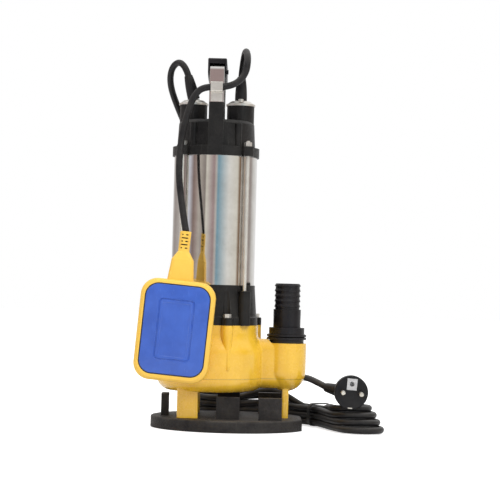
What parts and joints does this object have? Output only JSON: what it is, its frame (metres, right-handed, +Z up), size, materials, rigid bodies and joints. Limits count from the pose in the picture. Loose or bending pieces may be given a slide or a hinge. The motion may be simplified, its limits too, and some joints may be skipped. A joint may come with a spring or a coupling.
{
  "type": "submersible drain pump with float switch",
  "caption": "Submersible drain pump: cast volute on a strainer base, polished motor shell, hose tail outlet, carrying handle, tethered float switch and mains lead with plug.",
  "frame": {"origin": "centre of the motor's axis on the underside of the base plate", "axes": "+Z up along the motor's axis, +X from the axis towards the outlet, -Y towards the side where the float hangs"},
  "size_m": [0.2608, 0.2361, 0.4003],
  "materials": {
    "base_iron": "rough matt black paint on a sand casting",
    "volute_paint": "glossy yellow enamel over cast iron",
    "black_casting": "satin black paint with a fine cast texture",
    "polished_steel": "mirror-polished stainless steel",
    "zinc_steel": "bright zinc plate, lightly brushed",
    "black_plastic": "satin moulded plastic",
    "cord_rubber": "dusty black rubber sheath",
    "seal_rubber": "smooth nitrile rubber",
    "float_yellow": "moulded polypropylene, slightly glossy",
    "float_blue": "moulded polypropylene, satin",
    "plug_black": "fine spark-eroded texture",
    "plug_nickel": "nickel plate",
    "plug_grey": "pale insert",
    "inner_steel": "ground steel",
    "core_steel": "stacked electrical steel",
    "winding_copper": "varnished copper",
    "impeller_iron": "plain casting",
    "seal_ceramic": "lapped ceramic",
    "pale_plastic": "moulded insulating plastic",
    "tie_nylon": "black nylon"
  },
  "bodies": {
    "root": {"base_plate": "base_iron", "cable_clip": "zinc_steel", "cable_tie": "tie_nylon", "capacitor": "pale_plastic", "float_cord_loop": "cord_rubber", "gland_plates": "zinc_steel", "gland_screws": "zinc_steel", "grip_screw": "black_plastic", "handle_grip": "black_plastic", "handle_screws": "zinc_steel", "handle_strap": "polished_steel", "hose_tail": "black_plastic", "hose_tail_gasket": "seal_rubber", "left_cable_boot": "cord_rubber", "leg_screws": "zinc_steel", "lower_bearing_outer": "inner_steel", "lower_shell_o_ring": "seal_rubber", "motor_shell": "polished_steel", "plug_body": "plug_black", "plug_earth_clip": "plug_nickel", "plug_earth_contact": "plug_grey", "plug_pins": "plug_nickel", "power_cord_drop": "cord_rubber", "power_cord_hank": "cord_rubber", "power_cord_lead": "cord_rubber", "right_cable_boot": "cord_rubber", "seal_housing": "black_casting", "seal_seat": "seal_ceramic", "stator_core": "core_steel", "stator_windings": "winding_copper", "terminal_block": "pale_plastic", "tie_rod_nuts": "zinc_steel", "tie_rods": "zinc_steel", "top_cap": "black_casting", "upper_bearing_outer": "inner_steel", "upper_bracket": "impeller_iron", "upper_shell_o_ring": "seal_rubber", "volute": "volute_paint", "volute_bolts": "zinc_steel", "volute_o_ring": "seal_rubber"},
    "rotor": {"shaft": "inner_steel", "rotor_core": "core_steel", "impeller": "impeller_iron", "impeller_nut": "zinc_steel", "seal_head": "inner_steel", "seal_spring": "inner_steel", "seal_collar": "inner_steel", "lower_bearing_inner": "inner_steel", "upper_bearing_inner": "inner_steel"},
    "lower_balls": {"lower_bearing_balls": "inner_steel"},
    "upper_balls": {"upper_bearing_balls": "inner_steel"},
    "float": {"float_cord_tail": "cord_rubber", "float_body": "float_yellow", "float_seal": "seal_rubber", "float_cover": "float_blue", "ball_cage": "pale_plastic", "microswitch": "plug_black"},
    "ball": {"switch_ball": "inner_steel"},
    "lever": {"switch_lever": "inner_steel"}
  },
  "joints": [
    {"name": "rotor_spin", "type": "hinge", "parent": "root", "child": "rotor", "pos_m": [0, 0, 0.15], "axis": [0, 0, 1], "continuous": true},
    {"name": "lower_balls_spin", "type": "hinge", "parent": "root", "child": "lower_balls", "pos_m": [0, 0, 0.1375], "axis": [0, 0, 1], "continuous": true},
    {"name": "upper_balls_spin", "type": "hinge", "parent": "root", "child": "upper_balls", "pos_m": [0, 0, 0.273], "axis": [0, 0, 1], "continuous": true},
    {"name": "float_swing", "type": "hinge", "parent": "root", "child": "float", "pos_m": [0, -0.05, 0.356], "axis": [-1, 0, 0], "range_deg": [0, 120]},
    {"name": "ball_slide", "type": "slide", "parent": "float", "child": "ball", "axis": [0.0837, 0, 0.9965], "range_m": [0, 0.008]},
    {"name": "lever_swing", "type": "hinge", "parent": "float", "child": "lever", "pos_m": [-0.01461, -0.0735, 0.0893], "axis": [0, 1, 0], "range_deg": [0, 21.36]}
  ],
  "couplings": [
    {"joint": "lower_balls_spin", "follows": "rotor_spin", "ratio": 0.372},
    {"joint": "upper_balls_spin", "follows": "rotor_spin", "ratio": 0.3545},
    {"joint": "lever_swing", "follows": "ball_slide", "rad_per_m": 46.6}
  ]
}
